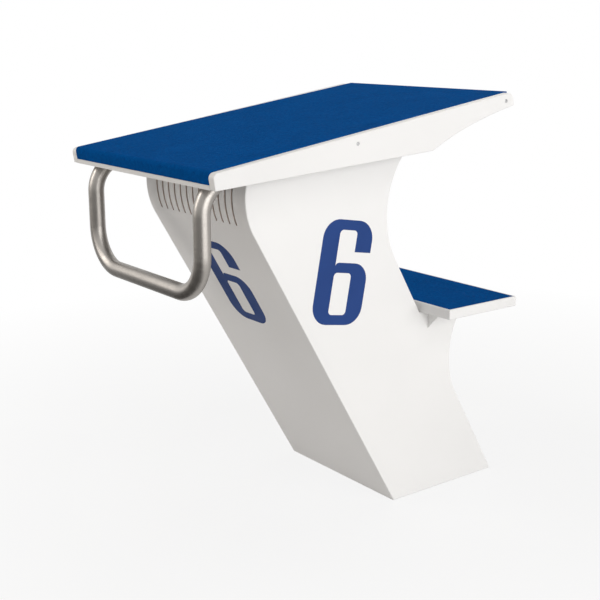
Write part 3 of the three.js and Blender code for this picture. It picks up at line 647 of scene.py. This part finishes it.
def quadratic(a, b, c, steps):
    """A curve from a to c, drawn towards b."""
    return [
        tuple((1 - t) ** 2 * a[k] + 2 * t * (1 - t) * b[k] + t * t * c[k] for k in range(2))
        for t in (i / steps for i in range(steps + 1))
    ]


def cheek_outline():
    knee = (cheek_knee, -cheek_knee_depth)
    pull = (0.807 * deck_length, -0.53 * cheek_knee_depth)
    scoop = quadratic(knee, pull, (deck_length, -cheek_rear_depth), 40)
    front, rear = cheek_front_radius, cheek_rear_radius
    return deck_outline([
        (0, -front_depth), *scoop,
        *arc((deck_length - rear, -cheek_rear_drop - rear), rear, 0, math.pi / 2, 14),
        *arc((front, -cheek_front_drop - front), front, math.pi / 2, math.pi, 12),
    ])


def rod(middle, way, radius, length):
    """A closed round bar along a way."""
    mesh = bmesh.new()
    turn = Vector((0, 0, 1)).rotation_difference(way).to_matrix().to_4x4()
    bmesh.ops.create_cone(
        mesh, cap_ends=True, segments=32, radius1=radius, radius2=radius, depth=length,
        matrix=Matrix.Translation(middle) @ turn,
    )
    return mesh


def cheek(name, sign):
    outer = sign * deck_half
    mesh = across(cheek_outline(), sign * (deck_half - cheek_thickness), outer)
    round_edges(mesh, 1.6, degrees=30)
    made = to_object(mesh, "cheek_skin_" + name)
    holes = bmesh.new()
    for along, depth in cheek_screws:
        y, z = deck_point(along, -depth)
        way = Vector((-sign, 0, 0))
        join(holes, rod(Vector((outer, y, z)), way, counterbore_radius, 2 * counterbore_depth))
    cut(made, holes)
    smooth(made)
    show(made, "white_plastic", "cheek_" + name)


deck_tread()
dress("deck_pan", "white_plastic", 0.7)
for name, sign in sides:
    cheek(name, sign)


# Grip


def bent_route(corners, radii):
    """Stations (point, way) down straight runs between corners, each corner an arc."""
    steps, spacing = 28, 12.0
    stations = [(corners[0], (corners[1] - corners[0]).normalized())]

    def run_to(end):
        start, way = stations[-1]
        count = max(1, round((end - start).length / spacing))
        stations.extend((start.lerp(end, i / count), way) for i in range(1, count + 1))

    for i, radius in enumerate(radii):
        into = (corners[i + 1] - corners[i]).normalized()
        out = (corners[i + 2] - corners[i + 1]).normalized()
        turn = into.angle(out)
        start = corners[i + 1] - into * radius * math.tan(turn / 2)
        axis = into.cross(out).normalized()
        centre = start + axis.cross(into) * radius
        run_to(start)
        for k in range(1, steps + 1):
            q = Quaternion(axis, turn * k / steps)
            stations.append((centre + q @ (start - centre), q @ into))
    run_to(corners[-1])
    return stations


def grip_route():
    """Stations down the tube's middle, from its right end round the loop to its left end."""
    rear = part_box("grip_tube")[1].y / MM - (grip_radius + grip_depth) * math.sin(slope)
    stub = deck_point((rear - deck_front) / math.cos(slope), -grip_depth)
    setback = (grip_setback - grip_depth * math.sin(slope)) / math.cos(slope)
    leg_top = deck_point(setback, -grip_depth)

    def side(x):
        return [
            Vector((x, stub.x, stub.y)), Vector((x, leg_top.x, leg_top.y)),
            Vector((x, leg_top.x, deck_height - grip_bar_drop)),
        ]

    return bent_route([*side(-grip_half), *reversed(side(grip_half))], grip_bends)


def grip_tube():
    """A hollow tube with a map in metres: u runs round it and v along it."""
    facets = 64
    girth = math.tau * grip_radius * MM
    mesh = bmesh.new()
    uv = mesh.loops.layers.uv.new("UVMap")
    outer, bore, lengths = [], [], []
    route = grip_route()
    beside = Vector((1, 0, 0))
    length, last = 0.0, route[0][0]
    for point, way in route:
        beside = (beside - way * beside.dot(way)).normalized()
        above = way.cross(beside)
        length += (point - last).length
        last = point
        lengths.append(length * MM)
        for rings, radius in ((outer, grip_radius), (bore, grip_radius - grip_wall)):
            rings.append([
                mesh.verts.new(point + (beside * math.cos(a) + above * math.sin(a)) * radius)
                for a in (math.tau * k / facets for k in range(facets))
            ])

    def skin(rings, turned):
        for i in range(len(rings) - 1):
            for k in range(facets):
                j = (k + 1) % facets
                corners = [(i, k), (i, j), (i + 1, j), (i + 1, k)]
                places = [(k, i), (k + 1, i), (k + 1, i + 1), (k, i + 1)]
                if turned:
                    corners.reverse()
                    places.reverse()
                face = mesh.faces.new([rings[a][b] for a, b in corners])
                for loop, (u, v) in zip(face.loops, places):
                    loop[uv].uv = (girth * u / facets, lengths[v])

    skin(outer, False)
    skin(bore, True)
    for i in (0, -1):
        for k in range(facets):
            j = (k + 1) % facets
            face = mesh.faces.new([outer[i][k], outer[i][j], bore[i][j], bore[i][k]])
            for loop in face.loops:
                loop[uv].uv = (girth * k / facets, lengths[i])
    bmesh.ops.recalc_face_normals(mesh, faces=mesh.faces)
    made = to_object(mesh, "grip_tube_skin")
    smooth(made)
    show(made, "brushed_tube", "grip_tube")


grip_tube()
for name, _ in sides:
    for i in (1, 2):
        dress(f"grip_saddle_{name}_{i}", "screw_steel", 0.4, slot="brushed_tube")
    dress(f"grip_end_plug_{name}", "black_plastic", 0.5)


# Step


def block(half, y0, y1, z0, z1):
    """A box whose sides are at half to either side of the middle."""
    corners = [Vector(corner) for corner in ((y0, z0), (y1, z0), (y1, z1), (y0, z1))]
    return across(corners, -half, half)


def step_board():
    """A board with a shallow tray in its top, so that a rim stands round the tread."""
    rear, tray = step_front + step_depth, step_height - step_recess
    mesh = block(step_half, step_front, rear, ledge, step_height)
    round_edges(mesh, 1.8)
    made = to_object(mesh, "step_board_skin")
    cut(made, block(
        step_half - step_rim, step_front + step_rim, rear - step_rim, tray, step_height + 9,
    ))
    smooth(made)
    show(made, "white_plastic", "step_board")


def step_tread():
    rear, tray = step_front + step_depth, step_height - step_recess
    gap = step_rim + seat_gap
    mesh = block(step_half - gap, step_front + gap, rear - gap, tray, step_height)
    round_edges(mesh, 0.7)
    made = to_object(mesh, "step_tread_skin")
    smooth(made)
    show(made, "blue_tread", "step_tread")


step_board()
step_tread()
for name, _ in sides:
    dress("step_gusset_" + name, "white_coat", 0.5)


# Fasteners: each stands on its CAD node's own axis

dome_shares = {"button": 0.75, "pan": 0.4, "flat": 0.12}
socket_share, socket_depth = 0.5, 0.62
socket_rings = (1, 2)


def screw_profile(head, low, under_head, high, shank, dome_share):
    """Rings (radius, reach) from the socket's floor over the domed head to the shank's end."""
    height = under_head - low
    socket = head * socket_share
    dome = dome_share * height
    dome_angles = [math.pi / 2 * i / 6 for i in range(7)]
    return [
        (0.0, low + height * socket_depth), (socket * 0.98, low + height * socket_depth),
        (socket, low + height * 0.05), (socket * 1.12, low),
        *((head - dome + dome * math.sin(a), low + dome * (1 - math.cos(a))) for a in dome_angles),
        (head, under_head), (shank, under_head), (shank, high - shank * 0.3), (shank * 0.7, high),
        (0.0, high),
    ]


def hexagon_radius(corner_radius, angle):
    wedge = (angle + math.pi / 6) % (math.pi / 3) - math.pi / 6
    return corner_radius * math.cos(math.pi / 6) / math.cos(wedge)


def fastener(node, way, style):
    """A domed head with a hex socket, and a shank, measured from the CAD node.

    The way runs from the head into the hole.
    """
    least_head, least_radius, facets = 0.5, 0.5, 36
    way = way.normalized()
    points = [v.co / MM for v in nodes[node].data.vertices]
    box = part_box(node)
    middle = (box[0] + box[1]) / 2 / MM
    base = middle - way * middle.dot(way)

    def off_axis(p):
        return (p - way * p.dot(way) - base).length

    reaches = [p.dot(way) for p in points]
    low, high = min(reaches), max(reaches)
    levels = sorted({round(r, 2) for r in reaches})
    under_head = next(r for r in levels if r > low + least_head)
    head = max(off_axis(p) for p in points)
    end = [off_axis(p) for p in points if p.dot(way) > high - TOUCH]
    shank = min(r for r in end if r > least_radius)
    profile = screw_profile(head, low, under_head, high, shank, dome_shares[style])
    turn = Vector((0, 0, 1)).rotation_difference(way)
    mesh = bmesh.new()
    rings = []
    for k, (radius, reach) in enumerate(profile):
        centre = base + way * reach
        if radius == 0.0:
            rings.append([mesh.verts.new(centre)])
            continue
        ring = []
        for n in range(facets):
            a = math.tau * n / facets
            out = hexagon_radius(radius, a) if k in socket_rings else radius
            spoke = turn @ Vector((math.cos(a), math.sin(a), 0))
            ring.append(mesh.verts.new(centre + spoke * out))
        rings.append(ring)
    for a, b in zip(rings, rings[1:]):
        for n in range(facets):
            m = (n + 1) % facets
            corners = [a[n % len(a)], a[m % len(a)], b[m % len(b)], b[n % len(b)]]
            mesh.faces.new(list(dict.fromkeys(corners)))
    bmesh.ops.recalc_face_normals(mesh, faces=mesh.faces)
    made = to_object(mesh, node + "_skin")
    smooth(made, 40)
    show(made, "screw_steel", node)


def panel_way(node):
    """Square to the lower rear panel, into it, at the node's height."""
    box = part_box(node)
    y, z = ((box[0] + box[1]) / 2 / MM).yz
    if z < lower_centre[1] - lower_radius * math.sin(lean):
        return front_out
    out = (Vector(lower_centre) - Vector((y, z))).normalized()
    return Vector((0, -out.x, -out.y))


up = Vector((0, 0, 1))
deck_up = Vector((0, -math.sin(slope), math.cos(slope)))
front_up = Vector((0, -math.sin(lean), math.cos(lean)))
front_out = Vector((0, -math.cos(lean), -math.sin(lean)))

for name, sign in sides:
    for i in (1, 2, 3):
        screw = f"rear_panel_screw_{name}_{i}"
        fastener(screw, panel_way(screw), "button")
        fastener(f"deck_bolt_{name}_{i}", deck_up, "pan")
    for i in (1, 2, 3, 4):
        fastener(f"grip_screw_{name}_{i}", deck_up, "pan")
    for i in (1, 2):
        fastener(f"cheek_screw_{name}_{i}", Vector((-sign, 0, 0)), "flat")
        fastener(f"step_bolt_{name}_{i}", up, "pan")
    fastener("gusset_screw_" + name, up, "pan")


# Loudspeaker behind the slots: the baffle is dressed, and the rest keeps its CAD mesh

dress("speaker_baffle", "plain_steel", 0.4)
speaker_finishes = {
    "speaker_basket": "black_plastic",
    "speaker_cone": "black_plastic",
    "speaker_magnet": "plain_steel",
}
for node, finish in speaker_finishes.items():
    cad = nodes[node]
    cad.data.materials.clear()
    cad.data.materials.append(finishes[finish])


# Lane number: a thin film on the front and on both sides


def rounded_loop(corners):
    """A closed outline whose corners are (x, y, radius)."""
    steps = 10
    points = []
    for i, (x, y, radius) in enumerate(corners):
        here = Vector((x, y))
        if not radius:
            points.append(here)
            continue
        before = (Vector(corners[i - 1][:2]) - here).normalized()
        after = (Vector(corners[(i + 1) % len(corners)][:2]) - here).normalized()
        half = before.angle(after) / 2
        reach = radius / math.tan(half)
        centre = here + (before + after).normalized() * radius / math.sin(half)
        first, last = here + before * reach - centre, here + after * reach - centre
        swing = first.angle_signed(last)
        for a in (-swing * k / steps for k in range(steps + 1)):
            points.append(centre + Vector((
                first.x * math.cos(a) - first.y * math.sin(a),
                first.x * math.sin(a) + first.y * math.cos(a),
            )))
    return points


def digit_shape():
    """A condensed 6, drawn upright from its lower left corner, with a nick beside its stem."""
    width, height, stem, bar, bowl = digit_width, digit_height, digit_stem, digit_bar, digit_bowl
    nick = [(8, 0), (4, 1), (1.5, 3), (0, 5.7)]
    outer = rounded_loop([
        (0, 0, 37), (width, 0, 36), (width, bowl, 33),
        *((stem + x, bowl - drop, 0) for x, drop in nick),
        (stem, height - bar, 8), (width - stem, height - bar, 8),
        (width - stem, digit_hook, 0), (width, digit_hook, 0),
        (width, height, 37), (0, height, 36),
    ])
    hole = rounded_loop([
        (stem, bar, 8), (width - stem, bar, 8), (width - stem, bowl - bar, 8),
        (stem, bowl - bar, 8),
    ])
    return outer, hole


def axes(right, up, out, origin):
    """The turn and place that lay a thing's own x, y and z along three ways."""
    return Matrix((
        (right.x, up.x, out.x, origin.x),
        (right.y, up.y, out.y, origin.y),
        (right.z, up.z, out.z, origin.z),
        (0, 0, 0, 1),
    ))


def digit(name, origin, right, up, out):
    """The film lies on a flat face: its origin is the digit's lower left corner."""
    curve = bpy.data.curves.new(name, "CURVE")
    curve.dimensions = "2D"
    curve.fill_mode = "BOTH"
    curve.extrude = film_half
    for loop in digit_shape():
        spline = curve.splines.new("POLY")
        spline.points.add(len(loop) - 1)
        for point, target in zip(loop, spline.points):
            target.co = (point.x, point.y, 0, 1)
        spline.use_cyclic_u = True
    holder = link_object(name, curve)
    depsgraph = bpy.context.evaluated_depsgraph_get()
    data = bpy.data.meshes.new_from_object(holder.evaluated_get(depsgraph))
    bpy.data.objects.remove(holder)
    bpy.data.curves.remove(curve)
    data.transform(Matrix.Diagonal((MM, MM, MM, 1)) @ axes(right, up, out, origin))
    data.name = name
    show(link_object(name, data), "film", slot="white_coat")


def side_digit(name, sign):
    out = Vector((sign, 0, 0))
    right = Vector((0, math.sin(digit_level), math.cos(digit_level))).cross(out)
    stem_way = Vector((0, math.sin(digit_tilt), math.cos(digit_tilt)))
    centre = Vector((sign * (pedestal_half + film_lift), *side_digit_centre))
    origin = centre - right * digit_width / 2 - stem_way * digit_height / 2
    digit("lane_number_" + name, origin, right, stem_way, out)


def front_digit():
    front_foot = Vector((0, -foot, 0)) + front_out * film_lift
    origin = front_foot + front_up * front_digit_rise - Vector((front_digit_left, 0, 0))
    digit(
        "lane_number_front", origin, Vector((front_digit_narrowing, 0, 0)), front_up, front_out
    )


for name, sign in sides:
    side_digit(name, sign)
front_digit()


# Stage, light and camera

floor_radius, floor_drop = 9000, 0.5


def sees_white(tree):
    """1 for camera, mirror and glass rays, to which the studio looks white, and 0 for others."""
    rays = tree.nodes.new("ShaderNodeLightPath")
    seen = rays.outputs["Is Camera Ray"]
    for kind in ("Is Glossy Ray", "Is Transmission Ray"):
        either = tree.nodes.new("ShaderNodeMath")
        either.operation = "MAXIMUM"
        tree.links.new(seen, either.inputs[0])
        tree.links.new(rays.outputs[kind], either.inputs[1])
        seen = either.outputs[0]
    return seen


def floor_material():
    """Pale floor that keeps the shadow and fades into the white background far away."""
    s = Shader("pale_studio_floor", 0.7)
    color = s.tint(s.noise(4.0, 3.0), grey(0.56), grey(0.58))
    s.done(color, Specular_IOR_Level=0.2)
    length = s.node("ShaderNodeVectorMath", operation="LENGTH")
    s.link(s.place, length.inputs[0])
    near, far, near_white = 0.5, 1.8, 0.84
    amount = s.node("ShaderNodeMath", operation="MULTIPLY")
    s.link(s.ramp(length.outputs["Value"], near_white, 1.0, near, far), amount.inputs[0])
    s.link(sees_white(s.tree), amount.inputs[1])
    white = s.node("ShaderNodeEmission")
    white.inputs["Color"].default_value = (*WHITE, 1)
    both = s.node("ShaderNodeMixShader")
    s.link(amount.outputs[0], both.inputs["Fac"])
    s.link(s.principled.outputs["BSDF"], both.inputs[1])
    s.link(white.outputs["Emission"], both.inputs[2])
    s.link(both.outputs[0], s.tree.nodes["Material Output"].inputs["Surface"])
    return s.material


def floor():
    mesh = bmesh.new()
    bmesh.ops.create_circle(mesh, cap_ends=True, segments=96, radius=floor_radius)
    made = to_object(mesh, "studio_floor")
    made.location.z = -floor_drop * MM
    made.data.materials.append(floor_material())


def drape():
    """Dark cloth round the front of the studio, for the metal's reflections alone."""
    s = Shader("dark_studio_drape", 0.9)
    s.done(s.tint(s.noise(3.0, 2.0), grey(0.12), grey(0.16)), Specular_IOR_Level=0.0)
    profile = ((700, 1), (1500, 1), (2600, 1), (2900, 60), (2960, 500))
    reach_degrees, steps = 50, 24
    mesh = bmesh.new()
    rows = []
    for i in range(steps + 1):
        azimuth = math.radians(2 * reach_degrees * i / steps - reach_degrees)
        rows.append([
            mesh.verts.new((math.sin(azimuth) * reach, -math.cos(azimuth) * reach, height))
            for reach, height in profile
        ])
    for a, b in zip(rows, rows[1:]):
        for k in range(len(profile) - 1):
            mesh.faces.new((a[k], b[k], b[k + 1], a[k + 1]))
    made = to_object(mesh, "studio_drape")
    made.data.materials.append(s.material)
    for kind in ("camera", "diffuse", "shadow", "transmission", "volume_scatter"):
        setattr(made, "visible_" + kind, False)


def world():
    """Soft warm light for the block, and plain white behind it."""
    studio = bpy.data.worlds.new("studio")
    bpy.context.scene.world = studio
    studio.use_nodes = True
    tree = studio.node_tree
    tree.nodes.clear()
    both = tree.nodes.new("ShaderNodeMixShader")
    tree.links.new(sees_white(tree), both.inputs["Fac"])
    for index, color, strength in ((1, (1.0, 0.93, 0.86), 0.28), (2, WHITE, 1.0)):
        light = tree.nodes.new("ShaderNodeBackground")
        light.inputs["Color"].default_value = (*color, 1)
        light.inputs["Strength"].default_value = strength
        tree.links.new(light.outputs[0], both.inputs[index])
    out = tree.nodes.new("ShaderNodeOutputWorld")
    tree.links.new(both.outputs[0], out.inputs["Surface"])


def area(name, position, target, size, power, color=WHITE):
    """A soft light of a size in metres and a power in watts, which faces its target."""
    light = bpy.data.lights.new(name, "AREA")
    light.shape = "RECTANGLE"
    light.size, light.size_y = size
    light.energy = power
    light.color = color
    holder = link_object(name, light)
    holder.location = position
    way = Vector(target) - Vector(position)
    holder.rotation_euler = way.to_track_quat("-Z", "Y").to_euler()


def camera():
    """The place, turn and lens that were fitted to the photo."""
    azimuth, elevation = math.radians(52.65), math.radians(14.01)
    position = Vector((1.6637, -1.5229, 0.9274))
    back = Vector((
        math.sin(azimuth) * math.cos(elevation), -math.cos(azimuth) * math.cos(elevation),
        math.sin(elevation),
    ))
    right = Vector((math.cos(azimuth), math.sin(azimuth), 0))
    lens = bpy.data.cameras.new("camera")
    lens.sensor_width = 36
    lens.lens = 64.3
    holder = link_object("camera", lens)
    holder.matrix_world = axes(right, back.cross(right), back, position)
    bpy.context.scene.camera = holder


floor()
drape()
world()
area("key", (3.2, -0.6, 2.6), (0, -0.3, 0.45), (2.4, 2.4), 31)
area("side", (3.5, 0.15, 1.0), (0, -0.3, 0.45), (3.8, 1.7), 74)
area("back", (-0.6, 1.9, 3.0), (0, -0.2, 0.6), (2.4, 2.0), 31)
area("front", (-1.5, -2.7, 2.8), (0, -0.3, 0.6), (1.4, 1.4), 31, (1.0, 0.96, 0.92))
area("low", (-1.7, -3.1, 1.65), (0, -0.3, 0.6), (1.1, 1.1), 20, (1.0, 0.95, 0.9))
camera()
bpy.context.scene.view_settings.view_transform = "Standard"
